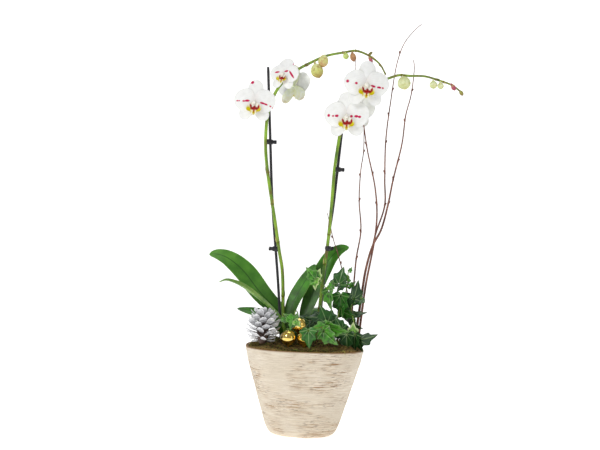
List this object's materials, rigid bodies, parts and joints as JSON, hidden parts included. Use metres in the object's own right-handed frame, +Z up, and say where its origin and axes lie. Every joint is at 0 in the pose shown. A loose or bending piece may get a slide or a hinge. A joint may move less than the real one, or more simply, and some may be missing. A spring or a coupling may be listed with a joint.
{
  "type": "potted orchid",
  "caption": "White moth orchids on stakes in a squarish tapered ceramic planter, with ivy, bare twigs, a silver pine cone and gold baubles.",
  "frame": {"origin": "centre of the flat underside of the planter, on the surface it stands on", "axes": "+Z up; the flowers face -Y, which is the front; +X to the right as seen from the front"},
  "size_m": [0.4979, 0.2547, 0.8345],
  "materials": {
    "whitewashed_ceramic": "matte, whitewashed over tan clay, with fine level brush grooves",
    "bark_mix": "rough, moist, dark brown",
    "moss": "rough dried moss, brown and olive green",
    "orchid_stem": "smooth, satin, with darker joints",
    "orchid_leaf": "smooth, waxy, satin",
    "orchid_leaf_dark": "smooth, waxy, satin, dark",
    "stake_plastic": "moulded, near black",
    "clip_plastic": "moulded, black",
    "sepal": "soft matte white with a green tinge",
    "petal": "soft matte white with a row of magenta dots",
    "lip": "yellow with dark red marks and a white front",
    "bud": "smooth, pale yellow green",
    "bud_tan": "smooth, tan",
    "bud_red": "smooth, pink red",
    "ivy": "satin, dark green with pale veins",
    "ivy_young": "satin, bright green with a pale edge",
    "twig_bark": "rough reddish brown bark",
    "silvered_cone": "silver paint over brown scales",
    "gold_bauble": "polished gold coating",
    "pick_wire": "dull gold lacquered wire"
  },
  "bodies": {
    "root": {"planter": "whitewashed_ceramic", "potting_soil": "bark_mix", "moss_cover": "moss", "orchid_crown_left": "orchid_stem", "orchid_crown_right": "orchid_stem", "leaf_left_arching": "orchid_leaf", "leaf_left_channelled": "orchid_leaf", "leaf_left_low": "orchid_leaf_dark", "leaf_left_upright": "orchid_leaf_dark", "leaf_left_rear": "orchid_leaf", "leaf_right_tall": "orchid_leaf_dark", "leaf_right_low": "orchid_leaf_dark", "leaf_right_rear": "orchid_leaf", "left_flower_spike": "orchid_stem", "right_flower_spike": "orchid_stem", "left_stake": "stake_plastic", "right_stake": "stake_plastic", "clip_left_upper": "clip_plastic", "clip_left_lower": "clip_plastic", "clip_right_upper": "clip_plastic", "clip_right_lower": "clip_plastic", "flower_left_low_sepals": "sepal", "flower_left_low_petals": "petal", "flower_left_low_lip": "lip", "flower_left_high_sepals": "sepal", "flower_left_high_petals": "petal", "flower_left_high_lip": "lip", "flower_left_turned_sepals": "sepal", "flower_left_turned_petals": "petal", "flower_left_turned_lip": "lip", "flower_right_high_sepals": "sepal", "flower_right_high_petals": "petal", "flower_right_high_lip": "lip", "flower_right_low_sepals": "sepal", "flower_right_low_petals": "petal", "flower_right_low_lip": "lip", "flower_right_turned_sepals": "sepal", "flower_right_turned_petals": "petal", "flower_right_turned_lip": "lip", "bud_left_1": "bud", "bud_left_2": "bud_tan", "bud_left_3": "bud", "bud_left_4": "bud_tan", "bud_right_1": "bud", "bud_right_2": "bud", "bud_right_3": "bud", "bud_right_4": "bud_red", "ivy_tall": "ivy", "ivy_right": "ivy", "ivy_front": "ivy_young", "ivy_left": "ivy_young", "twig_forked": "twig_bark", "twig_tall": "twig_bark", "twig_short": "twig_bark", "pine_cone": "silvered_cone", "bauble_left": "gold_bauble", "bauble_right": "gold_bauble", "bauble_upper": "gold_bauble", "bauble_wire_pick": "pick_wire"}
  },
  "joints": []
}
